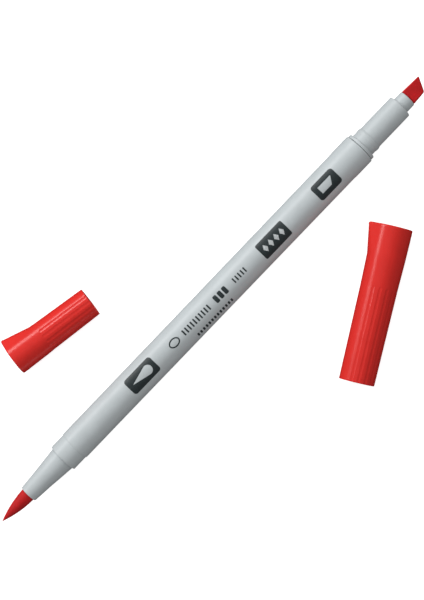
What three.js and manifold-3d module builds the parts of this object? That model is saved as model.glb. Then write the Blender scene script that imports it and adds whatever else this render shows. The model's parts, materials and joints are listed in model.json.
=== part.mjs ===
// A double-ended brush pen: a grey barrel with a brush nib at one end and a chisel nib at the
// other, lying uncapped on a table with its two red caps beside it.
//
// Millimetres, +Z up, the table at Z = 0. The pen lies along X, brush nib towards -X. "Station"
// is the distance along the pen from the brush nib's point. A cap is modelled along its own X,
// from its open rim at 0 to its closed end.

import * as THREE from 'three';
import { ConvexGeometry } from 'three/addons/geometries/ConvexGeometry.js';
import { mergeVertices } from 'three/addons/utils/BufferGeometryUtils.js';
import Module from 'manifold-3d';

const wasm = await Module();
wasm.setup();

// ---- driving dimensions ----

// stations along the pen
const NOSE_FRONT = 10.9;
const NOSE_MIDDLE = 17;
const NIB_SEAT = 20;
const BARREL_FRONT = 25.4;
const SEAT_END = 30.4;
const COLLAR_START = 144;
const FLANGE_BACK = 150.1;
const FLANGE_FRONT = 151.2;
const BEAD_START = 152.7;
const BEAD_END = 154.6;
const NECK_FRONT = 167.1;
const CHISEL_COLLAR_FRONT = 170.3;
const PEN_LENGTH = 177.1;

// radii of the pen
const BRUSH_RADIUS = 2.2;
const NOSE_FRONT_RADIUS = 2.72;
const NOSE_MIDDLE_RADIUS = 3.18;
const NOSE_REAR_RADIUS = 3.98;
const SEAT_RADIUS = 4.6;
const BARREL_RADIUS_FRONT = 4.8;
const BARREL_RADIUS_REAR = 4.92;
const COLLAR_RADIUS = 5;
const FLANGE_RADIUS = 4.7;
const BARREL_BORE = 3.95;
const NECK_BASE_RADIUS = 3.9;
const NECK_BEAD_RADIUS = 4.02;
const NECK_RADIUS = 3.79;
const CHISEL_COLLAR_RADIUS = 2.68;

// the holders' insides: a spigot in the barrel, wide behind the nib's stem
const SPIGOT_LENGTH = 11.5;
const SPIGOT_CHAMFER = 0.4;
const HOLDER_BORE = 2.9;

// the ink store inside the barrel
const STORE_START = 39;
const STORE_END = 136;
const STORE_RADIUS = 3.35;
const FILM_THICKNESS = 0.15;
const BRUSH_STEM_RADIUS = 1.55;
const CHISEL_STEM_RADIUS = 1.6;
const STEM_REACH = 6;

// the chisel nib's head
const CHISEL_WIDTH = 5;
const CHISEL_EDGE_WIDTH = 4.3;
const CHISEL_THICKNESS = 2.7;
const CHISEL_EDGE_THICKNESS = 1.6;
const CHISEL_SHORT_SIDE = 4.4;

// clearance between pressed-together pieces, and the chamfer of small outer edges
const FIT = 0.1;
const EDGE = 0.15;

// joined solids drop detail smaller than this
const SLIVER = 0.002;

// how finely round pieces are faceted
const AROUND_PEN = 40;
const AROUND_CAP = 48;
const AROUND_CORE = 24;
const AROUND_CUTTER = 18;
const ALONG_CUTTER = 4;

// the flutes of both caps: shallow grooves all round but for the smooth side of the wing
const FLUTE_COUNT = 11;
const FLUTE_PITCH = THREE.MathUtils.degToRad(22.5);
const FLUTE_WIDTH = 1;
const FLUTE_DEPTH = 0.12;
const WING_LENGTH = 9.2;
const WING_TIP_RADIUS = 1.2;
const CAP_END_CHAMFER = 0.3;

const LONG_CAP = {
  length: 46.5,
  rimRadius: 5.25,
  fluteRadius: 5.48,
  kinkRadius: 5.69,
  endRadius: 5.76,
  fluteLength: 28.4,
  wingRise: 1.5,
  // the bore, rim to closed end: over the barrel, over its seat, round the liner
  bore: [[4.9, 0], [4.88, 15.4], [4.68, 15.6], [4.68, 20], [4.45, 20.3], [4.45, 45.5]],
  // the liner's outside and inside
  linerRadius: 4.15,
  linerMouth: [3.32, 28.2],
  linerThroat: [2.9, 34],
  linerDepth: 45.2,
};

const SHORT_CAP = {
  length: 28,
  rimRadius: 4.48,
  fluteRadius: 4.76,
  kinkRadius: 4.84,
  endRadius: 4.97,
  fluteLength: 17,
  wingRise: 1.58,
  // the bore, rim to closed end: over the neck's base, over the neck, round the liner
  bore: [[4.1, 0], [4.08, 4.6], [3.9, 4.8], [3.9, 17], [3.75, 17.2], [3.75, 27.1]],
  linerRadius: 3.45,
  linerMouth: [2.75, 17.5],
  linerThroat: [2.95, 20],
  linerDepth: 26.8,
};

const LINER_WALL = 0.25;

// where the caps lie: the rim's centre from the brush point, and the way the closed end points
const LONG_CAP_PLACE = { x: 100.4, y: -46.4, turn: THREE.MathUtils.degToRad(30.5), roll: 0 };
const SHORT_CAP_PLACE = { x: 63.8, y: 25.7, turn: THREE.MathUtils.degToRad(170.8), roll: Math.PI };

// ---- materials ----

function plastic(color, roughness) {
  return new THREE.MeshStandardMaterial({ color, roughness, metalness: 0 });
}

const materials = {
  barrel: () => plastic(0xb4bcbf, 0.5),
  holder: () => plastic(0xb9c1c4, 0.5),
  nib: () => plastic(0xc42222, 0.85),
  store: () => plastic(0xb01c1c, 1),
  film: () => plastic(0xe6e8ea, 0.3),
  cap: () => plastic(0xe02826, 0.3),
  liner: () => plastic(0xf0f0ee, 0.45),
};

// ---- helpers ----

function mesh(name, geometry, material) {
  const piece = new THREE.Mesh(geometry, material());
  piece.name = name;
  return piece;
}

// Turns a profile of [radius, station] pairs about the X axis. A profile that starts and ends on
// the axis is solid; any other is closed on itself.
function turned(profile, around) {
  const points = profile.map(([radius, station]) => new THREE.Vector2(radius, station));
  if (profile[0][0] > 0) {
    points.push(points[0].clone());
  }
  const geometry = new THREE.LatheGeometry(points, around);
  geometry.rotateZ(-Math.PI / 2);
  return geometry;
}

function solidOf(geometry) {
  const bare = geometry.clone();
  bare.deleteAttribute('normal');
  bare.deleteAttribute('uv');
  const merged = mergeVertices(bare);
  return new wasm.Manifold(new wasm.Mesh({
    numProp: 3,
    vertProperties: new Float32Array(merged.attributes.position.array),
    triVerts: new Uint32Array(merged.index.array),
  }));
}

function geometryOf(solid) {
  const { vertProperties, triVerts } = solid.getMesh();
  const geometry = new THREE.BufferGeometry();
  geometry.setAttribute('position', new THREE.BufferAttribute(vertProperties, 3));
  geometry.setIndex(new THREE.BufferAttribute(triVerts, 1));
  geometry.computeVertexNormals();
  return geometry;
}

// Points of a circle square to X, centred at height 0 and at sideways distance `aside`.
function ring(radius, station, aside = 0) {
  return Array.from({ length: AROUND_CAP }, (_, i) => {
    const angle = (2 * Math.PI * i) / AROUND_CAP;
    return new THREE.Vector3(station, aside + radius * Math.cos(angle), radius * Math.sin(angle));
  });
}

// ---- the pen ----

function makeBarrel() {
  const collarSlope = 3;
  const endChamfer = 0.3;
  return turned([
    [BARREL_BORE, BARREL_FRONT],
    [SEAT_RADIUS - EDGE, BARREL_FRONT],
    [SEAT_RADIUS, BARREL_FRONT + EDGE],
    [SEAT_RADIUS, SEAT_END - EDGE],
    [BARREL_RADIUS_FRONT, SEAT_END],
    [BARREL_RADIUS_REAR, COLLAR_START - collarSlope],
    [COLLAR_RADIUS, COLLAR_START],
    [COLLAR_RADIUS, FLANGE_BACK - endChamfer],
    [COLLAR_RADIUS - endChamfer, FLANGE_BACK],
    [BARREL_BORE, FLANGE_BACK],
  ], AROUND_PEN);
}

// The nose cone grips the brush nib in front and presses into the barrel behind.
function makeBrushHolder() {
  const spigotRadius = BARREL_BORE - FIT;
  const spigotEnd = BARREL_FRONT + SPIGOT_LENGTH;
  const stemBore = BRUSH_STEM_RADIUS + FIT;
  const stemBoreEnd = NIB_SEAT + 3;
  const wideBoreStart = NIB_SEAT + 6;
  return turned([
    [BRUSH_RADIUS + FIT, NOSE_FRONT],
    [NOSE_FRONT_RADIUS - EDGE, NOSE_FRONT],
    [NOSE_FRONT_RADIUS, NOSE_FRONT + EDGE],
    [NOSE_MIDDLE_RADIUS, NOSE_MIDDLE],
    [NOSE_REAR_RADIUS, BARREL_FRONT - FIT],
    [spigotRadius, BARREL_FRONT],
    [spigotRadius, spigotEnd - SPIGOT_CHAMFER],
    [spigotRadius - SPIGOT_CHAMFER, spigotEnd],
    [HOLDER_BORE, spigotEnd],
    [HOLDER_BORE, wideBoreStart],
    [stemBore, stemBoreEnd],
    [stemBore, NIB_SEAT + FIT],
    [BRUSH_RADIUS + FIT, NIB_SEAT + FIT],
  ], AROUND_PEN);
}

// A round ogive point on a straight body, and a thinner stem that reaches the ink store.
function makeBrushNib() {
  const ogiveLength = 11.5;
  const fullness = 2;
  const steps = 12;
  const profile = [[0, 0]];
  for (let i = 1; i <= steps; i += 1) {
    const station = (ogiveLength * i) / steps;
    const radius = BRUSH_RADIUS * (1 - (1 - i / steps) ** fullness);
    profile.push([radius, station]);
  }
  profile.push(
    [BRUSH_RADIUS, NIB_SEAT],
    [BRUSH_STEM_RADIUS, NIB_SEAT],
    [BRUSH_STEM_RADIUS, STORE_START + STEM_REACH],
    [0, STORE_START + STEM_REACH],
  );
  return turned(profile, AROUND_CORE);
}

// The flange closes the barrel, the neck carries the short cap and its snap bead, and the small
// collar in front grips the chisel nib.
function makeChiselHolder() {
  const spigotRadius = BARREL_BORE - FIT;
  const spigotStart = FLANGE_BACK - SPIGOT_LENGTH;
  const flangeStart = FLANGE_BACK + FIT;
  const stemBore = CHISEL_STEM_RADIUS + FIT;
  const stemBoreStart = NECK_FRONT - 9;
  const wideBoreEnd = NECK_FRONT - 12;
  const beadSlope = 0.6;
  const chamfer = 0.25;
  return turned([
    [HOLDER_BORE, spigotStart],
    [spigotRadius - SPIGOT_CHAMFER, spigotStart],
    [spigotRadius, spigotStart + SPIGOT_CHAMFER],
    [spigotRadius, flangeStart],
    [FLANGE_RADIUS - EDGE, flangeStart],
    [FLANGE_RADIUS, flangeStart + EDGE],
    [FLANGE_RADIUS, FLANGE_FRONT - chamfer],
    [FLANGE_RADIUS - chamfer, FLANGE_FRONT],
    [NECK_BASE_RADIUS, FLANGE_FRONT],
    [NECK_BASE_RADIUS, BEAD_START],
    [NECK_BEAD_RADIUS, BEAD_START + beadSlope],
    [NECK_BEAD_RADIUS, BEAD_END - beadSlope],
    [NECK_RADIUS, BEAD_END],
    [NECK_RADIUS, NECK_FRONT - chamfer],
    [NECK_RADIUS - chamfer, NECK_FRONT],
    [CHISEL_COLLAR_RADIUS, NECK_FRONT],
    [CHISEL_COLLAR_RADIUS, CHISEL_COLLAR_FRONT - EDGE],
    [CHISEL_COLLAR_RADIUS - EDGE, CHISEL_COLLAR_FRONT],
    [stemBore, CHISEL_COLLAR_FRONT],
    [stemBore, stemBoreStart],
    [HOLDER_BORE, wideBoreEnd],
  ], AROUND_PEN);
}

// A slanted wedge: its long side is towards +Y. The stem behind it reaches the ink store.
function makeChiselNib() {
  const back = CHISEL_COLLAR_FRONT + FIT;
  const corner = 0.35;
  const points = [];
  const section = (station, side, width, thickness) => {
    for (const up of [-1, 1]) {
      const edgeY = (side * width) / 2;
      points.push(new THREE.Vector3(station, edgeY, up * (thickness / 2 - corner)));
      points.push(new THREE.Vector3(station, edgeY - side * corner, (up * thickness) / 2));
    }
  };
  for (const side of [-1, 1]) {
    const tip = side > 0 ? PEN_LENGTH : back + CHISEL_SHORT_SIDE;
    section(back, side, CHISEL_WIDTH, CHISEL_THICKNESS);
    section(tip, side, CHISEL_EDGE_WIDTH, CHISEL_EDGE_THICKNESS);
  }
  const head = new ConvexGeometry(points);
  // the stem ends in a thinner tenon, which stays inside the head's thickness
  const tenonRadius = 1.2;
  const tenonEnd = back + 0.8;
  const stem = turned([
    [0, STORE_END - STEM_REACH],
    [CHISEL_STEM_RADIUS, STORE_END - STEM_REACH],
    [CHISEL_STEM_RADIUS, back],
    [tenonRadius, back],
    [tenonRadius, tenonEnd],
    [0, tenonEnd],
  ], AROUND_CORE);
  return geometryOf(solidOf(stem).add(solidOf(head)).simplify(SLIVER));
}

// A stick of fibre with a socket at each end for a nib's stem.
function makeInkStore() {
  const brushSocket = BRUSH_STEM_RADIUS + FIT;
  const chiselSocket = CHISEL_STEM_RADIUS + FIT;
  return turned([
    [0, STORE_START + STEM_REACH + FIT],
    [brushSocket, STORE_START + STEM_REACH + FIT],
    [brushSocket, STORE_START],
    [STORE_RADIUS, STORE_START],
    [STORE_RADIUS, STORE_END],
    [chiselSocket, STORE_END],
    [chiselSocket, STORE_END - STEM_REACH - FIT],
    [0, STORE_END - STEM_REACH - FIT],
  ], AROUND_CORE);
}

function makeStoreFilm() {
  const inside = STORE_RADIUS + FIT;
  const outside = inside + FILM_THICKNESS;
  const setBack = 0.5;
  return turned([
    [inside, STORE_START + setBack],
    [outside, STORE_START + setBack],
    [outside, STORE_END - setBack],
    [inside, STORE_END - setBack],
  ], AROUND_CORE);
}

function makePen() {
  const pen = new THREE.Group();
  pen.add(
    mesh('barrel', makeBarrel(), materials.barrel),
    mesh('brush_holder', makeBrushHolder(), materials.holder),
    mesh('brush_nib', makeBrushNib(), materials.nib),
    mesh('chisel_holder', makeChiselHolder(), materials.holder),
    mesh('chisel_nib', makeChiselNib(), materials.nib),
    mesh('ink_store', makeInkStore(), materials.store),
    mesh('ink_store_film', makeStoreFilm(), materials.film),
  );
  return pen;
}

// ---- the caps ----

// The outside as a turned body: a slight draft, fluted from the rim, then smooth to the end.
function capBody(cap) {
  return turned([
    [0, 0],
    [cap.rimRadius - EDGE, 0],
    [cap.rimRadius, EDGE],
    [cap.fluteRadius, cap.fluteLength],
    [cap.kinkRadius, cap.length - WING_LENGTH],
    [cap.endRadius, cap.length - CAP_END_CHAMFER],
    [cap.endRadius - CAP_END_CHAMFER, cap.length],
    [0, cap.length],
  ], AROUND_CAP);
}

// The wing that stops the cap rolling: flat flanks that run from the body to a rounded tip.
function capWing(cap) {
  const kink = cap.length - WING_LENGTH;
  const inset = 0.05;
  const tipChamfer = 0.5;
  const tipAside = cap.endRadius + cap.wingRise - WING_TIP_RADIUS;
  return new ConvexGeometry([
    ...ring(cap.kinkRadius - inset, kink),
    ...ring(cap.endRadius - inset, cap.length - CAP_END_CHAMFER),
    ...ring(WING_TIP_RADIUS, cap.length - tipChamfer, tipAside),
    ...ring(WING_TIP_RADIUS - tipChamfer, cap.length, tipAside),
    ...ring(cap.endRadius - CAP_END_CHAMFER - inset, cap.length),
  ]);
}

// A round cutter that leaves one flute: open at the rim, with a rounded arch at its other end.
function fluteCutter(cap, index) {
  const cutterRadius = (FLUTE_WIDTH ** 2 / 4 + FLUTE_DEPTH ** 2) / (2 * FLUTE_DEPTH);
  const overrun = 3;
  const end = cap.fluteLength - FLUTE_WIDTH / 2;
  const slope = Math.atan2(cap.fluteRadius - cap.rimRadius, cap.fluteLength);
  const cutter = new THREE.CapsuleGeometry(cutterRadius, end + overrun, ALONG_CUTTER, AROUND_CUTTER);
  cutter.translate(0, (end - overrun) / 2, 0);
  cutter.rotateZ(-Math.PI / 2);
  cutter.rotateZ(-slope);
  cutter.translate(0, -(cap.rimRadius + cutterRadius - FLUTE_DEPTH), 0);
  cutter.rotateX((index - (FLUTE_COUNT - 1) / 2) * FLUTE_PITCH);
  return solidOf(cutter);
}

function makeCapShell(cap) {
  let shell = solidOf(capBody(cap)).add(solidOf(capWing(cap)));
  for (let i = 0; i < FLUTE_COUNT; i += 1) {
    shell = shell.subtract(fluteCutter(cap, i));
  }
  const mouth = -1;
  const depth = cap.bore[cap.bore.length - 1][1];
  const hollow = turned([[0, mouth], [cap.bore[0][0], mouth], ...cap.bore, [0, depth]], AROUND_CAP);
  return geometryOf(shell.subtract(solidOf(hollow)).simplify(SLIVER));
}

// The inner cap that seals round the nib: a cup whose mouth grips the holder.
function makeCapLiner(cap) {
  const [mouthRadius, mouth] = cap.linerMouth;
  const [throatRadius, throat] = cap.linerThroat;
  const mouthChamfer = 0.2;
  const floor = cap.linerDepth - LINER_WALL;
  return turned([
    [0, floor],
    [throatRadius, floor],
    [throatRadius, throat],
    [mouthRadius, mouth],
    [cap.linerRadius - mouthChamfer, mouth],
    [cap.linerRadius, mouth + mouthChamfer],
    [cap.linerRadius, cap.linerDepth],
    [0, cap.linerDepth],
  ], AROUND_CORE);
}

// Lays a cap on the table: it rests on its rim and on the kink where the wing starts.
function makeCap(name, cap, place) {
  const pieces = new THREE.Group();
  pieces.add(
    mesh(`${name}_shell`, makeCapShell(cap), materials.cap),
    mesh(`${name}_liner`, makeCapLiner(cap), materials.liner),
  );
  pieces.rotation.x = place.roll;
  const lean = Math.atan2(cap.kinkRadius - cap.rimRadius, cap.length - WING_LENGTH);
  const lying = new THREE.Group();
  lying.add(pieces);
  lying.rotation.set(0, -lean, place.turn, 'ZYX');
  lying.position.set(place.x, place.y, cap.rimRadius * Math.cos(lean));
  return lying;
}

// ---- the set as it lies ----

// Centres the set on the origin, with its lowest points on the table.
function centred(parts) {
  const whole = new THREE.Group();
  whole.add(...parts);
  whole.updateMatrixWorld(true);
  const box = new THREE.Box3().setFromObject(whole, true);
  const middle = box.getCenter(new THREE.Vector3());
  whole.position.set(-middle.x, -middle.y, -box.min.z);
  return whole;
}

const pen = makePen();
pen.position.z = COLLAR_RADIUS;

export default centred([
  pen,
  makeCap('long_cap', LONG_CAP, LONG_CAP_PLACE),
  makeCap('short_cap', SHORT_CAP, SHORT_CAP_PLACE),
]);
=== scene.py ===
"""The looks of a double-ended brush pen with its two caps off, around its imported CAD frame.

Shapes are worked out in millimetres and made into meshes in metres. Along the pen, a station is
the distance from the brush nib's point. Along a cap, it is the distance from the open rim.
"""

import json
import math

import bmesh
import bpy
import numpy as np
from mathutils import Matrix, Vector


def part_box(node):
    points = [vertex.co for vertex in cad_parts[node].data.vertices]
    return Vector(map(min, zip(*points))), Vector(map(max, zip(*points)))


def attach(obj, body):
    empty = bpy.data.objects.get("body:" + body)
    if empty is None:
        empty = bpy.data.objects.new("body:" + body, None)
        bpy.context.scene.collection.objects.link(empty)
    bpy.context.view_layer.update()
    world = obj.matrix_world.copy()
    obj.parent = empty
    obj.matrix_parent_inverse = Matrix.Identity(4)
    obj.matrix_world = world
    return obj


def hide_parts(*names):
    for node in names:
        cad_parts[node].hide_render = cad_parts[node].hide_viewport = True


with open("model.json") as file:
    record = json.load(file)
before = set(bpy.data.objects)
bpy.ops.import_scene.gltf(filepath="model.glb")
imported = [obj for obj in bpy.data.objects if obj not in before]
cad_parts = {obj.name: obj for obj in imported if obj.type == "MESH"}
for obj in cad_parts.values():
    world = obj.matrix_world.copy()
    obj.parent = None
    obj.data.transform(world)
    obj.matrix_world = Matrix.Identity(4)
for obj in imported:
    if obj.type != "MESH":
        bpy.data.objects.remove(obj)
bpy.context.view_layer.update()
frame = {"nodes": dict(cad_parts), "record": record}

MM = 0.001
AROUND = 120  # columns round a revolved piece
ROUND_STEPS = 5  # faces across a rounded edge
SHARP_ANGLE = math.radians(34)

# ---- where things are: the pen's frame and the caps' frames, from the CAD ----


def pen_frame():
    """The pen's own axes in the row frame: X along it from the brush nib's point, Z up."""
    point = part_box("brush_nib")[0].x
    low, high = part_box("barrel")
    middle = (low + high) / 2
    return Matrix.Translation((point, middle.y, middle.z))


def cap_frame(mount_name, length):
    """A cap's own axes: X from its rim to its closed end, Y towards its wing."""
    mount = next(m for m in frame["record"]["mounts"] if m["name"] == mount_name)
    along = Vector(mount["axis"]).normalized()
    wing = Vector((-along.y, along.x, 0)).normalized()
    if wing.y < 0:
        wing.negate()
    across = along.cross(wing)
    rim = Vector(mount["pos_m"]) - along * length * MM
    axes = Matrix((along, wing, across)).transposed().to_4x4()
    return Matrix.Translation(rim) @ axes


# ---- mesh building ----


def rounded(corners):
    """The outline through (station, radius, round) corners, each corner with its own round.

    Gives (station, radius, wear) points, where wear is 1 in the middle of a rounded edge.
    """
    outline = []
    for i, (station, radius, size) in enumerate(corners):
        here = Vector((station, radius))
        if size == 0:
            outline.append((station, radius, 0.0))
            continue
        before = (Vector(corners[i - 1][:2]) - here).normalized()
        after = (Vector(corners[(i + 1) % len(corners)][:2]) - here).normalized()
        half = before.angle(after) / 2
        reach = size / math.tan(half)
        centre = here + (before + after).normalized() * size / math.sin(half)
        first = here + before * reach - centre
        last = here + after * reach - centre
        sweep = first.angle(last)
        guard = 0.4 * size
        outline.append((*(here + before * (reach + guard)), 0.0))
        for k in range(ROUND_STEPS + 1):
            t = k / ROUND_STEPS
            arm = (first * math.sin((1 - t) * sweep) + last * math.sin(t * sweep)) / math.sin(sweep)
            outline.append((*(centre + arm), math.sin(math.pi * t)))
        outline.append((*(here + after * (reach + guard)), 0.0))
    return outline


def skin(name, rings, wears, looped, placed):
    """A smooth mesh over rings of points. A ring of one point is a pole; looped joins the ends."""
    vertices = []
    wear_values = []
    starts = []
    for ring, wear in zip(rings, wears, strict=True):
        starts.append(len(vertices))
        vertices.extend((x * MM, y * MM, z * MM) for x, y, z in ring)
        wear_values.extend([wear] * len(ring))
    pairs = list(zip(range(len(rings) - 1), range(1, len(rings)), strict=True))
    if looped:
        pairs.append((len(rings) - 1, 0))
    faces = []
    for a, b in pairs:
        size_a, size_b = len(rings[a]), len(rings[b])
        columns = max(size_a, size_b)
        for i in range(columns):
            j = (i + 1) % columns
            if size_a == 1:
                faces.append((starts[a], starts[b] + j, starts[b] + i))
            elif size_b == 1:
                faces.append((starts[a] + i, starts[a] + j, starts[b]))
            else:
                faces.append((starts[a] + i, starts[a] + j, starts[b] + j, starts[b] + i))
    mesh = bpy.data.meshes.new(name)
    mesh.from_pydata(vertices, [], faces)
    attribute = mesh.attributes.new("wear", "FLOAT", "POINT")
    attribute.data.foreach_set("value", wear_values)
    return placed_object(name, mesh, placed)


def placed_object(name, mesh, placed):
    if signed_volume(mesh) < 0:
        mesh.flip_normals()
    mesh.shade_smooth()
    mesh.set_sharp_from_angle(angle=SHARP_ANGLE)
    piece = bpy.data.objects.new(name, mesh)
    bpy.context.scene.collection.objects.link(piece)
    piece.matrix_world = placed
    return piece


def signed_volume(mesh):
    mesh.calc_loop_triangles()
    total = 0.0
    for triangle in mesh.loop_triangles:
        a, b, c = (mesh.vertices[v].co for v in triangle.vertices)
        total += a.dot(b.cross(c))
    return total


def circle(station, radius, columns=AROUND):
    if radius == 0:
        return [(station, 0.0, 0.0)]
    angles = np.arange(columns) * 2 * math.pi / columns
    return [(station, radius * math.cos(a), radius * math.sin(a)) for a in angles]


def revolved(name, corners, placed):
    """A piece turned about its X axis. An outline that doesn't start on the axis is looped."""
    outline = rounded(corners)
    rings = [circle(station, radius) for station, radius, _ in outline]
    wears = [wear for _, _, wear in outline]
    return skin(name, rings, wears, corners[0][1] > 0, placed)


# ---- materials ----

# a Mix node has one set of sockets for each kind of data, and these are its colour ones
MIX_COLOURS = slice(6, 8)
MIX_RESULT = 2

# noise scales along and across a piece
SCRATCH_STRETCH = (180, 5200, 5200)
WAVE_STRETCH = (90, 260, 260)
STRAND_STRETCH = (420, 6800, 6800)
CREASE_STRETCH = (300, 900, 900)


class Nodes:
    """A material's node tree, with short calls to add and link its nodes."""

    def __init__(self, name):
        self.material = bpy.data.materials.new(name)
        self.material.use_nodes = True
        self.tree = self.material.node_tree
        self.shader = self.tree.nodes["Principled BSDF"]
        self.place = self.add("ShaderNodeTexCoord").outputs["Object"]

    def add(self, kind, **settings):
        node = self.tree.nodes.new(kind)
        for key, value in settings.items():
            setattr(node, key, value)
        return node

    def link(self, source, target):
        self.tree.links.new(source, target)

    def stretched(self, scale):
        mapping = self.add("ShaderNodeMapping")
        mapping.inputs["Scale"].default_value = scale
        self.link(self.place, mapping.inputs["Vector"])
        return mapping.outputs["Vector"]

    def noise(self, scale, detail=3.0, stretch=(1, 1, 1)):
        texture = self.add("ShaderNodeTexNoise")
        texture.inputs["Scale"].default_value = scale
        texture.inputs["Detail"].default_value = detail
        self.link(self.stretched(stretch), texture.inputs["Vector"])
        return texture.outputs["Fac"]

    def ranged(self, value, low, high, start=0.3, end=0.7):
        """Maps a noise value from start..end to low..high."""
        spread = self.add("ShaderNodeMapRange")
        spread.inputs["From Min"].default_value = start
        spread.inputs["From Max"].default_value = end
        spread.inputs["To Min"].default_value = low
        spread.inputs["To Max"].default_value = high
        self.link(value, spread.inputs["Value"])
        return spread.outputs["Result"]

    def math(self, operation, first, second):
        node = self.add("ShaderNodeMath", operation=operation)
        for socket, value in zip(node.inputs, (first, second), strict=False):
            if isinstance(value, (int, float)):
                socket.default_value = value
            else:
                self.link(value, socket)
        return node.outputs["Value"]

    def mixed(self, factor, first, second):
        """A colour between two, each a colour or a socket."""
        node = self.add("ShaderNodeMix", data_type="RGBA")
        self.link(factor, node.inputs["Factor"])
        for socket, value in zip(node.inputs[MIX_COLOURS], (first, second), strict=True):
            if isinstance(value, tuple):
                socket.default_value = (*value, 1)
            else:
                self.link(value, socket)
        return node.outputs[MIX_RESULT]

    def bump(self, height, distance, strength=1.0, under=None):
        node = self.add("ShaderNodeBump")
        node.inputs["Strength"].default_value = strength
        node.inputs["Distance"].default_value = distance
        self.link(height, node.inputs["Height"])
        if under is not None:
            self.link(under, node.inputs["Normal"])
        return node.outputs["Normal"]

    def wear(self):
        return self.add("ShaderNodeAttribute", attribute_name="wear").outputs["Fac"]


def shade(color, factor):
    return tuple(min(channel * factor, 1.0) for channel in color)


def moulded_plastic(name, color, roughness, worn_color, scratched=0.06, specular=0.5):
    """Moulded plastic: faint mottling, fine grain, hairline scratches, and rubbed edges."""
    nodes = Nodes(name)
    mottle = nodes.ranged(nodes.noise(220, 4), 0, 1)
    plain = nodes.mixed(mottle, shade(color, 0.975), shade(color, 1.025))
    patches = nodes.ranged(nodes.noise(1400, 5), 0, 0.55, 0.42, 0.62)
    rub = nodes.math("MULTIPLY", nodes.wear(), patches)
    nodes.link(nodes.mixed(rub, plain, worn_color), nodes.shader.inputs["Base Color"])
    scratches = nodes.ranged(nodes.noise(1, 6, SCRATCH_STRETCH), -scratched, scratched)
    scratched_rough = nodes.math("ADD", scratches, roughness)
    rough = nodes.math("ADD", scratched_rough, nodes.math("MULTIPLY", rub, 0.25))
    nodes.link(rough, nodes.shader.inputs["Roughness"])
    fine = nodes.bump(nodes.noise(5200, 2), 0.00001)
    waves = nodes.bump(nodes.noise(1, 1, WAVE_STRETCH), 0.00004, 0.35, fine)
    nodes.link(waves, nodes.shader.inputs["Normal"])
    nodes.shader.inputs["IOR"].default_value = 1.49
    nodes.shader.inputs["Specular IOR Level"].default_value = specular
    return nodes.material


def soaked_fibre(name, color, deep_color):
    """Bonded fibre full of ink: fine strands along the nib, darker where it is wettest."""
    nodes = Nodes(name)
    strands = nodes.noise(1, 5, STRAND_STRETCH)
    pools = nodes.ranged(nodes.noise(420, 3), 0, 1, 0.38, 0.62)
    stranded = nodes.mixed(nodes.ranged(strands, 0, 1), deep_color, color)
    nodes.link(nodes.mixed(pools, stranded, shade(color, 0.72)), nodes.shader.inputs["Base Color"])
    nodes.link(nodes.ranged(strands, 0.5, 0.85), nodes.shader.inputs["Roughness"])
    nodes.link(nodes.bump(strands, 0.00006, 0.6), nodes.shader.inputs["Normal"])
    nodes.shader.inputs["Specular IOR Level"].default_value = 0.3
    return nodes.material


def printed_ink(name, color):
    """Screen-printed ink: nearly even, with slightly starved patches."""
    nodes = Nodes(name)
    starved = nodes.ranged(nodes.noise(1900, 4), 0, 1, 0.4, 0.75)
    nodes.link(nodes.mixed(starved, color, shade(color, 1.35)), nodes.shader.inputs["Base Color"])
    nodes.link(nodes.ranged(nodes.noise(2600, 2), 0.38, 0.52), nodes.shader.inputs["Roughness"])
    return nodes.material


def clear_film(name):
    """The thin wrap of the ink store, milky where it creases."""
    nodes = Nodes(name)
    crease = nodes.noise(1, 4, CREASE_STRETCH)
    milky = nodes.mixed(crease, (0.72, 0.74, 0.76), (0.86, 0.87, 0.88))
    nodes.link(milky, nodes.shader.inputs["Base Color"])
    nodes.link(nodes.ranged(crease, 0.15, 0.35), nodes.shader.inputs["Roughness"])
    return nodes.material


GREY = (0.545, 0.590, 0.605)
RED = (0.76, 0.030, 0.024)
MATERIALS = {
    "barrel_plastic": moulded_plastic("barrel_plastic", GREY, 0.42, (0.70, 0.73, 0.74)),
    "holder_plastic": moulded_plastic("holder_plastic", shade(GREY, 0.985), 0.44, (0.72, 0.75, 0.76)),
    "cap_plastic": moulded_plastic(
        "cap_plastic", RED, 0.25, (0.86, 0.14, 0.11), scratched=0.02, specular=0.38
    ),
    "liner_plastic": moulded_plastic("liner_plastic", (0.82, 0.82, 0.80), 0.5, (0.9, 0.9, 0.88)),
    "nib_fibre": soaked_fibre("nib_fibre", (0.72, 0.014, 0.016), (0.44, 0.007, 0.008)),
    "store_fibre": soaked_fibre("store_fibre", (0.45, 0.015, 0.012), (0.28, 0.006, 0.006)),
    "film": clear_film("film"),
    "print_dark": printed_ink("print_dark", (0.028, 0.038, 0.041)),
    "print_light": printed_ink("print_light", (0.50, 0.53, 0.54)),
}


def settle(piece, body, slot, *nodes):
    """Gives a piece the material named by slot and its body, and hides the CAD nodes that it stands for."""
    piece.data.materials.clear()
    piece.data.materials.append(MATERIALS[slot])
    if nodes:
        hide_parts(*nodes)
    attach(piece, body)


# ---- the pen ----

PEN = pen_frame()


def station_of(node, end):
    """The station of a CAD node's brush-side end (0) or chisel-side end (1)."""
    return (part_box(node)[end].x - PEN.translation.x) / MM


# ends that the CAD's boxes give
NOSE_FRONT = station_of("brush_holder", 0)
BARREL_FRONT = station_of("barrel", 0)
FLANGE_BACK = station_of("barrel", 1)
CHISEL_COLLAR_FRONT = station_of("chisel_holder", 1)
PEN_LENGTH = station_of("chisel_nib", 1)

# steps and shoulders between them
NOSE_MIDDLE = 17
NIB_SEAT = 20
SEAT_END = 30.4
TAPER_START = 44
COLLAR_START = 143.8
FLANGE_FRONT = 151.2
BEAD_START = 152.7
BEAD_END = 154.6
NECK_FRONT = 167.1

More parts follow.
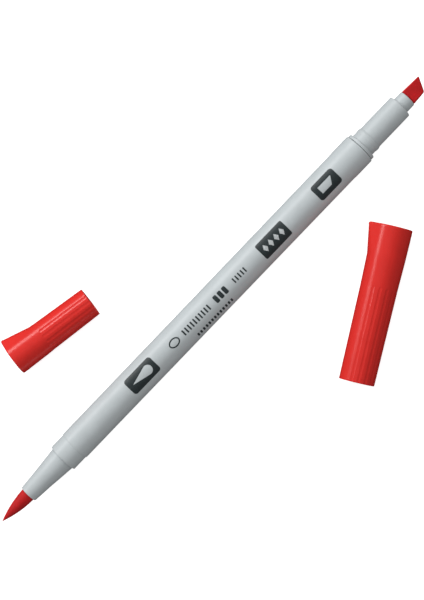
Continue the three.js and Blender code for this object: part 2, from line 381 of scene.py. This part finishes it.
BRUSH_RADIUS = 2.2
BARREL_RADIUS_FRONT = 4.8
BARREL_RADIUS_REAR = 4.93
COLLAR_RADIUS = 5.0
CAP_SEAT_RADIUS = 4.6
FLANGE_RADIUS = 4.7
NECK_RADIUS = 3.79
BARREL_BORE = 3.95
SPIGOT_RADIUS = 3.85
SPIGOT_LENGTH = 11.5
HOLDER_BORE = 2.9  # inside both holders, behind the nib's stem


def barrel_radius(station):
    """The barrel's outside between the cap seat and the collar."""
    stations = (SEAT_END, TAPER_START, COLLAR_START)
    radii = (BARREL_RADIUS_FRONT, BARREL_RADIUS_FRONT, BARREL_RADIUS_REAR)
    return float(np.interp(station, stations, radii))


def make_barrel():
    barrel = revolved("barrel_tube", [
        (BARREL_FRONT, BARREL_BORE, 0.1),
        (BARREL_FRONT, CAP_SEAT_RADIUS, 0.16),
        (SEAT_END - 0.05, CAP_SEAT_RADIUS, 0),
        (SEAT_END, barrel_radius(SEAT_END), 0.1),
        (TAPER_START, barrel_radius(TAPER_START), 0),
        (COLLAR_START - 0.9, BARREL_RADIUS_REAR, 0.6),
        (COLLAR_START + 0.1, COLLAR_RADIUS, 0.4),
        (FLANGE_BACK, COLLAR_RADIUS, 0.36),
        (FLANGE_BACK, BARREL_BORE, 0.1),
    ], PEN)
    settle(barrel, "pen", "barrel_plastic", "barrel")


def make_nose_cone():
    nib_hole = BRUSH_RADIUS + 0.1
    stem_hole = 1.65
    seat = NIB_SEAT + 0.1
    spigot_end = BARREL_FRONT + SPIGOT_LENGTH
    cone = revolved("nose_cone", [
        (NOSE_FRONT, nib_hole, 0.06),
        (NOSE_FRONT, 2.72, 0.14),
        (NOSE_MIDDLE, 3.18, 0),
        (BARREL_FRONT - 0.08, 3.98, 0),
        (BARREL_FRONT + 0.2, SPIGOT_RADIUS, 0),
        (spigot_end, SPIGOT_RADIUS, 0.35),
        (spigot_end, HOLDER_BORE, 0.1),
        (seat + 6, HOLDER_BORE, 0),
        (seat + 3, stem_hole, 0),
        (seat, stem_hole, 0),
        (seat, nib_hole, 0),
    ], PEN)
    settle(cone, "pen", "holder_plastic", "brush_holder")


def make_brush_nib():
    """A round brush point: an ogive with a slightly blunt tip."""
    ogive = 11.5
    fullness = 2.0
    steps = 48
    tip = 0.08
    corners = [(0.0, 0.0, 0), (0.02, tip, 0)]
    for i in range(1, steps + 1):
        t = (i / steps) ** 1.5
        corners.append((ogive * t, tip + (BRUSH_RADIUS - tip) * (1 - (1 - t) ** fullness), 0))
    stem = 1.55
    stem_end = 45
    corners += [
        (NIB_SEAT, BRUSH_RADIUS, 0),
        (NIB_SEAT, stem, 0),
        (stem_end, stem, 0),
        (stem_end, 0.0, 0),
    ]
    settle(revolved("brush_nib_fibre", corners, PEN), "pen", "nib_fibre", "brush_nib")


def make_neck():
    """The flange that closes the barrel, the neck with its snap bead, and the nib's collar."""
    spigot_start = FLANGE_BACK - SPIGOT_LENGTH
    base = 3.9
    bead = 4.02
    nib_collar = 2.68
    stem_hole = 1.7
    stem_hole_start = NECK_FRONT - 9
    neck = revolved("chisel_end_neck", [
        (spigot_start, HOLDER_BORE, 0.1),
        (spigot_start, SPIGOT_RADIUS, 0.35),
        (FLANGE_BACK + 0.1, SPIGOT_RADIUS, 0),
        (FLANGE_BACK + 0.1, FLANGE_RADIUS, 0.13),
        (FLANGE_FRONT, FLANGE_RADIUS, 0.28),
        (FLANGE_FRONT, base, 0.12),
        (BEAD_START, base, 0.3),
        (BEAD_START + 0.5, bead, 0.3),
        (BEAD_END - 0.6, bead, 0.3),
        (BEAD_END, NECK_RADIUS, 0.3),
        (NECK_FRONT, NECK_RADIUS, 0.26),
        (NECK_FRONT, nib_collar, 0.1),
        (CHISEL_COLLAR_FRONT, nib_collar, 0.2),
        (CHISEL_COLLAR_FRONT, stem_hole, 0.05),
        (stem_hole_start, stem_hole, 0),
        (stem_hole_start - 3, HOLDER_BORE, 0),
    ], PEN)
    settle(neck, "pen", "holder_plastic", "chisel_holder")


def make_chisel_nib():
    """A slanted wedge on a round stem. Its long side faces +Y, and it thins to the writing edge."""
    back = CHISEL_COLLAR_FRONT + 0.1
    side_ends = {1: PEN_LENGTH + 0.15, -1: back + 4.6}
    # (share of the way to the writing edge, half width, half thickness)
    sections = ((0, 2.5, 1.35), (0.62, 2.33, 1.22), (1, 2.22, 0.62))
    vertices = []
    for share, half_width, half_thickness in sections:
        for side, up in ((1, 1), (-1, 1), (-1, -1), (1, -1)):
            station = back + (side_ends[side] - back) * share
            vertices.append((station * MM, side * half_width * MM, up * half_thickness * MM))
    faces = [(3, 2, 1, 0), (8, 9, 10, 11)]
    for first in (0, 4):
        for i in range(4):
            j = (i + 1) % 4
            faces.append((first + i, first + j, first + 4 + j, first + 4 + i))
    mesh = bpy.data.meshes.new("chisel_nib_wedge")
    mesh.from_pydata(vertices, [], faces)
    wedge = placed_object("chisel_nib_wedge", mesh, PEN)
    bevel = wedge.modifiers.new("edges", "BEVEL")
    bevel.width = 0.42 * MM
    bevel.segments = 4
    bevel.limit_method = "ANGLE"
    bevel.angle_limit = math.radians(20)
    settle(wedge, "pen", "nib_fibre", "chisel_nib")
    stem_start = 130
    stem_end = back + 0.6
    stem = revolved("chisel_nib_stem", [
        (stem_start, 0.0, 0),
        (stem_start, 1.6, 0.1),
        (stem_end, 1.2, 0.1),
        (stem_end, 0.0, 0),
    ], PEN)
    settle(stem, "pen", "nib_fibre")


# ---- the prints on the barrel ----
#
# Their outlines are drawn flat, in stations and distances aside from the pen's axis, and dropped
# straight down on the barrel.

PRINT_PROUD = 0.02  # how far the ink stands off the barrel
PRINT_STRIP = 0.35  # width of the strips that bend round the barrel
TICK_MIDDLE = -0.2  # the tick row's distance aside
SIGN_CORNER = 0.9  # round of the signs' corners


def rectangle(start, end, low, high, corner):
    return [(start, low, corner), (end, low, corner), (end, high, corner), (start, high, corner)]


def ellipse(station, aside, half_length, half_width, steps=32):
    turns = np.arange(steps) * 2 * math.pi / steps
    return [(station + half_length * math.cos(a), aside + half_width * math.sin(a), 0) for a in turns]


def flat_print(outlines):
    """The area inside the outlines of (station, aside, round) corners. Inner outlines are holes."""
    bm = bmesh.new()
    for outline in outlines:
        points = [bm.verts.new((x, y, 0)) for x, y, _ in rounded(outline)]
        for first, second in zip(points, points[1:] + points[:1], strict=True):
            bm.edges.new((first, second))
    bmesh.ops.triangle_fill(bm, edges=bm.edges[:], use_beauty=True, normal=(0, 0, 1))
    low = min(v.co.y for v in bm.verts)
    high = max(v.co.y for v in bm.verts)
    for aside in np.arange(low + PRINT_STRIP, high, PRINT_STRIP):
        everything = bm.verts[:] + bm.edges[:] + bm.faces[:]
        bmesh.ops.bisect_plane(bm, geom=everything, plane_co=(0, aside, 0), plane_no=(0, 1, 0))
    return bm


def printed(name, outlines, ink, layer=1):
    """A print on the barrel. Layer 2 is printed over layer 1."""
    bm = flat_print(outlines)
    for v in bm.verts:
        radius = barrel_radius(v.co.x) + PRINT_PROUD * layer
        v.co.z = math.sqrt(radius**2 - v.co.y**2)
        v.co *= MM
    mesh = bpy.data.meshes.new(name)
    bm.to_mesh(mesh)
    bm.free()
    piece = bpy.data.objects.new(name, mesh)
    bpy.context.scene.collection.objects.link(piece)
    piece.matrix_world = PEN
    thickness = piece.modifiers.new("ink", "SOLIDIFY")
    thickness.thickness = 1.5 * PRINT_PROUD * MM
    thickness.offset = -1
    mesh.materials.append(MATERIALS[ink])
    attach(piece, "pen")


def drop(tip, centre, aside, radius, steps=24):
    """A round drop with its point at tip: an arc and the two straight lines that touch it."""
    touch = math.pi - math.acos(radius / (centre - tip))
    turns = np.linspace(-touch, touch, steps)
    arc = [(centre + radius * math.cos(a), aside + radius * math.sin(a), 0) for a in turns]
    return [(tip, aside, 0), *arc]


def make_brush_sign():
    """Shows which end holds the brush: a dark panel with a plain drop pointing that way."""
    start, end, low, high = 53.6, 64.2, -2.7, 2.6
    panel = rectangle(start, end, low, high, SIGN_CORNER)
    symbol = drop(start + 1.5, end - 3, (low + high) / 2, 1.5)
    printed("brush_end_sign", [panel, symbol], "print_dark")


def make_chisel_sign():
    """Shows which end holds the chisel: a dark panel with a plain bar cut off at a slant."""
    start, end, low, high = 131.2, 139.8, -2.9, 2.4
    middle = (low + high) / 2
    half = 1.15
    bar = [
        (start + 1.7, middle - half, 0.1),
        (end - 3.2, middle - half, 0.1),
        (end - 1.6, middle + half, 0.1),
        (start + 1.7, middle + half, 0.1),
    ]
    panel = rectangle(start, end, low, high, SIGN_CORNER)
    printed("chisel_end_sign", [panel, bar], "print_dark")


def make_code_panel():
    """A dark panel with four plain lozenges."""
    near, far, low, high = 108.1, 118.75, -2.95, 2.3
    printed("code_panel", [rectangle(near, far, low, high, 0.5)], "print_dark")
    middle = (low + high) / 2
    lozenges = []
    for station in np.linspace(near + 2, far - 2, 4):
        lozenges.append([
            (station - 0.8, middle, 0),
            (station, middle - 1.25, 0),
            (station + 0.8, middle, 0),
            (station, middle + 1.25, 0),
        ])
    printed("code_lozenges", lozenges, "print_light", layer=2)


def ticks(start, end, pitch, width, half_height, middle=TICK_MIDDLE):
    """Upright marks with rounded corners, spaced evenly from start to end."""
    corner = 0.3 * min(width, 2 * half_height)
    low, high = middle - half_height, middle + half_height
    return [rectangle(x, x + width, low, high, corner) for x in np.arange(start, end - width + 0.01, pitch)]


def make_tick_rows():
    """Plain ornament: a ring, fine ticks, bold blocks, small ticks, and a dashed line beside them."""
    ring = [ellipse(72.2, TICK_MIDDLE, 1.9, 1.35), ellipse(72.2, TICK_MIDDLE, 1.5, 0.95)]
    printed("ornament_ring", ring, "print_dark")
    printed("ornament_fine_ticks", ticks(75.9, 86.8, 1.14, 0.5, 0.95), "print_dark")
    printed("ornament_bold_blocks", ticks(89, 94.2, 1.8, 1.3, 1.2), "print_dark")
    printed("ornament_small_ticks", ticks(96.8, 101.7, 1.1, 0.46, 0.85), "print_dark")
    printed("ornament_dashes", ticks(78.5, 93.6, 1.15, 0.65, 0.42, middle=-3.6), "print_dark")


# ---- the caps ----

WING_LENGTH = 9.2
WING_TIP_RADIUS = 1.2
FLUTE_COUNT = 11
FLUTE_PITCH = math.radians(22.5)
FLUTE_HALF_WIDTH = 0.5
FLUTE_DEPTH = 0.09
RIM_ROUND = 0.13
END_ROUND = 0.32
WING_EXTRA_ROUND = 0.4  # added to the closed end's round at the wing, fading out to each side
WING_FADE = 0.75  # the angle over which it fades
# distances across a flute at which the shell has a column
FLUTE_COLUMNS = (0, 0.11, 0.22, 0.33, 0.42, 0.48, 0.53, 0.6)
# (depth, radius) of the moulding gate's dimple in a closed end, from its middle outwards
GATE_DIMPLE = ((0.05, 0.3), (0.12, 0.38), (0.12, 1.05), (0.03, 1.2), (0, 1.32), (0, 2.6))

# corners are (station, radius, round); the bore and the liner run from the rim inwards
LONG_CAP = {
    "length": 46.5,
    "radii": {"rim": 5.25, "flute": 5.48, "kink": 5.69, "end": 5.76},
    "flute_length": 28.4,
    "wing_rise": 1.5,
    "bore": [
        (0, 4.9, 0.14),
        (15.5, 4.88, 0),
        (15.7, 4.68, 0),
        (20, 4.68, 0),
        (20.2, 4.45, 0),
        (45.5, 4.45, 0.3),
    ],
    "liner": [
        (44.9, 0.0, 0),
        (44.9, 2.9, 0.6),
        (34, 2.9, 0),
        (28.2, 3.32, 0.15),
        (28.2, 4.15, 0.2),
        (45.2, 4.15, 0.2),
        (45.2, 0.0, 0),
    ],
}
SHORT_CAP = {
    "length": 28.0,
    "radii": {"rim": 4.48, "flute": 4.76, "kink": 4.84, "end": 4.97},
    "flute_length": 17.0,
    "wing_rise": 1.58,
    "bore": [
        (0, 4.1, 0.12),
        (4.6, 4.08, 0),
        (4.8, 3.9, 0),
        (17, 3.9, 0),
        (17.2, 3.75, 0),
        (27.1, 3.75, 0.3),
    ],
    "liner": [
        (26.5, 0.0, 0),
        (26.5, 2.95, 0.5),
        (20, 2.95, 0),
        (17.5, 2.75, 0.12),
        (17.5, 3.45, 0.15),
        (26.8, 3.45, 0.2),
        (26.8, 0.0, 0),
    ],
}


def cap_columns(cap):
    """Angles from the wing: close together on the wing's tip and across each flute."""
    radius = cap["radii"]["flute"]
    across = np.array(FLUTE_COLUMNS) / radius
    across = np.concatenate([-across[:0:-1], across])
    first = math.pi - (FLUTE_COUNT - 1) / 2 * FLUTE_PITCH
    centres = first + np.arange(FLUTE_COUNT) * FLUTE_PITCH
    fluted = (centres[:, None] + across[None, :]).ravel()
    between = centres[:-1] + FLUTE_PITCH / 2
    edge = first - 0.8 / radius
    tip = np.linspace(0, math.radians(9), 10)
    flank = np.linspace(math.radians(11), edge, 20)
    wing = np.concatenate([tip, flank])
    return np.sort(np.concatenate([-wing[:0:-1], wing, fluted, between]))


def wing_section(angles, body, reach, tip):
    """Polar radius of the outline round the body's circle and a tip circle centred at reach."""
    if reach + tip <= body + 1e-6:
        return np.full(len(angles), body)
    tangent = math.acos((body - tip) / reach)
    away = np.abs(angles)
    tip_end = math.atan2(tip * math.sin(tangent), reach + tip * math.cos(tangent))
    arc = reach * np.cos(away) + np.sqrt(np.maximum(tip**2 - (reach * np.sin(away)) ** 2, 0))
    flank = body / np.cos(np.minimum(np.abs(away - tangent), 1.0))
    return np.where(away < tip_end, arc, np.where(away < tangent, flank, body))


def cap_outside(cap, angles, station):
    """Radius of the cap's outside at each angle: draft, flutes and wing."""
    radii = cap["radii"]
    kink = cap["length"] - WING_LENGTH
    stations = (0, cap["flute_length"], kink, cap["length"])
    body = float(np.interp(station, stations, list(radii.values())))
    if station <= kink:
        return body - flute_depth(cap, angles, station, body)
    share = (station - kink) / WING_LENGTH
    tip_reach = radii["end"] + cap["wing_rise"] - WING_TIP_RADIUS
    tip = radii["kink"] + (WING_TIP_RADIUS - radii["kink"]) * share
    return wing_section(angles, body, tip_reach * share, tip)


def flute_depth(cap, angles, station, radius):
    """Round-bottomed grooves from the rim to an arched end."""
    past = max(station - (cap["flute_length"] - FLUTE_HALF_WIDTH), 0)
    turn = (np.mod(angles, 2 * math.pi) - math.pi) / FLUTE_PITCH
    nearest = np.clip(np.round(turn), -(FLUTE_COUNT - 1) / 2, (FLUTE_COUNT - 1) / 2)
    aside = (turn - nearest) * FLUTE_PITCH * radius
    return FLUTE_DEPTH * np.maximum(1 - (aside**2 + past**2) / FLUTE_HALF_WIDTH**2, 0)


def cap_ring(angles, station, radii):
    stations = np.broadcast_to(station, angles.shape)
    return list(zip(stations, radii * np.cos(angles), radii * np.sin(angles), strict=True))


def closed_end(cap, angles):
    """(station, radius, wear) from the gate's dimple in the middle to past the rounded edge."""
    length = cap["length"]
    profile = [(length - depth, radius, 0.0) for depth, radius in GATE_DIMPLE]
    from_wing = np.abs((angles + math.pi) % (2 * math.pi) - math.pi)
    size = END_ROUND + WING_EXTRA_ROUND * np.clip(1 - from_wing / WING_FADE, 0, 1)
    outside = cap_outside(cap, angles, length)
    for bend in np.linspace(0, math.pi / 2, ROUND_STEPS + 2):
        station = length - size * (1 - math.cos(bend))
        radii = outside - size * (1 - math.sin(bend))
        profile.append((station, radii, math.sin(2 * bend)))
    return profile


def cap_side(cap, angles):
    """(station, radius, wear) down the wing, past the flutes' arched ends, to near the rim."""
    kink = cap["length"] - WING_LENGTH
    arch = cap["flute_length"]
    wing = np.linspace(cap["length"] - 0.9, kink, 18)
    plain = np.linspace(kink - 0.3, arch + 0.3, 5)
    arched = np.linspace(arch + 0.04, arch - 0.56, 16)
    fluted = np.linspace(arch - 1, 0.5, 10)
    stations = np.concatenate([wing, plain, arched, fluted])
    return [(station, cap_outside(cap, angles, station), 0.0) for station in stations]


def cap_rim(cap, angles):
    """(station, radius, wear) over the rim's rounded outer edge."""
    profile = []
    for bend in np.linspace(0, math.pi / 2, ROUND_STEPS + 1):
        station = RIM_ROUND * (1 - math.sin(bend))
        radii = cap_outside(cap, angles, station) - RIM_ROUND * (1 - math.cos(bend))
        profile.append((station, radii, math.sin(2 * bend)))
    return profile


def make_cap_shell(name, cap, placed, body, node):
    angles = cap_columns(cap)
    floor = cap["bore"][-1][0]
    bore = rounded([(0, cap["radii"]["rim"], 0), *cap["bore"], (floor, 0.0, 0)])[1:-1]
    profile = [*closed_end(cap, angles), *cap_side(cap, angles), *cap_rim(cap, angles), *bore]
    rings = [cap_ring(angles, station, radii) for station, radii, _ in profile]
    wears = [wear for _, _, wear in profile]
    dimple_middle = circle(cap["length"] - GATE_DIMPLE[0][0], 0)
    shell = skin(name, [dimple_middle, *rings, circle(floor, 0)], [0.0, *wears, 0.0], False, placed)
    settle(shell, body, "cap_plastic", node)


def make_cap(name, cap):
    placed = cap_frame(f"{name}_end", cap["length"])
    make_cap_shell(f"{name}_fluted_shell", cap, placed, name, f"{name}_shell")
    liner = revolved(f"{name}_seal_cup", cap["liner"], placed)
    settle(liner, name, "liner_plastic", f"{name}_liner")


# ---- the stage ----

CAMERA_TURN = math.radians(-46.22)
CAMERA_HEIGHT = 0.54
VIEW_HEIGHT_ANGLE = math.radians(18.3635)
CAMERA_ASIDE = Vector((0.00005, 0.0005, 0))  # from straight above the pen's middle


def make_camera():
    """Straight above, turned so that the pen rises to the right."""
    middle = PEN @ Vector((PEN_LENGTH / 2 * MM, 0, 0))
    camera_data = bpy.data.cameras.new("camera")
    camera_data.sensor_fit = "VERTICAL"
    camera_data.angle = VIEW_HEIGHT_ANGLE
    camera = bpy.data.objects.new("camera", camera_data)
    camera.location = middle + CAMERA_ASIDE + Vector((0, 0, CAMERA_HEIGHT))
    camera.rotation_euler = (0, 0, CAMERA_TURN)
    bpy.context.scene.collection.objects.link(camera)
    bpy.context.scene.camera = camera


def make_floor():
    """White paper that glows a little, so that it stays white in the picture."""
    mesh = bpy.data.meshes.new("floor")
    half = 3.0
    corners = [(-half, -half, 0), (half, -half, 0), (half, half, 0), (-half, half, 0)]
    mesh.from_pydata(corners, [], [(0, 1, 2, 3)])
    floor = bpy.data.objects.new("floor", mesh)
    bpy.context.scene.collection.objects.link(floor)
    nodes = Nodes("floor_paper")
    nodes.shader.inputs["Base Color"].default_value = (0.85, 0.85, 0.85, 1)
    nodes.shader.inputs["Roughness"].default_value = 0.9
    nodes.shader.inputs["Emission Color"].default_value = (1, 1, 1, 1)
    nodes.shader.inputs["Emission Strength"].default_value = 0.75
    mesh.materials.append(nodes.material)
    floor.visible_diffuse = False
    floor.visible_glossy = False


def add_softbox(name, towards, distance, size, power, mirrored=True):
    """An area lamp aimed at the origin. One that isn't mirrored shows in no reflection."""
    data = bpy.data.lights.new(name, "AREA")
    data.shape = "RECTANGLE"
    data.size, data.size_y = size
    data.energy = power
    light = bpy.data.objects.new(name, data)
    direction = Vector(towards).normalized()
    light.location = direction * distance
    light.rotation_euler = direction.to_track_quat("Z", "Y").to_euler()
    light.visible_glossy = mirrored
    bpy.context.scene.collection.objects.link(light)


def make_lights():
    """A soft key from +Y, which is the upper left of the camera's picture, and weak fills."""
    add_softbox("key", (0, 0.88, 0.47), 0.7, (0.7, 0.2), 3.3)
    add_softbox("overhead", (0, 0.3, 1), 0.9, (0.9, 0.9), 2.6, mirrored=False)
    world = bpy.data.worlds.new("studio")
    bpy.context.scene.world = world
    world.use_nodes = True
    background = world.node_tree.nodes["Background"]
    background.inputs["Color"].default_value = (1, 1, 1, 1)
    background.inputs["Strength"].default_value = 0.33
    world.cycles_visibility.glossy = False
    bpy.context.scene.view_settings.view_transform = "Standard"


def finish_hidden_nodes():
    """The ink store and its film stay as the CAD made them, inside the barrel."""
    for node, slot in (("ink_store", "store_fibre"), ("ink_store_film", "film")):
        piece = frame["nodes"][node]
        piece.data.materials.clear()
        piece.data.materials.append(MATERIALS[slot])


make_camera()
make_floor()
make_lights()
make_barrel()
make_nose_cone()
make_brush_nib()
make_neck()
make_chisel_nib()
make_brush_sign()
make_chisel_sign()
make_code_panel()
make_tick_rows()
make_cap("long_cap", LONG_CAP)
make_cap("short_cap", SHORT_CAP)
finish_hidden_nodes()
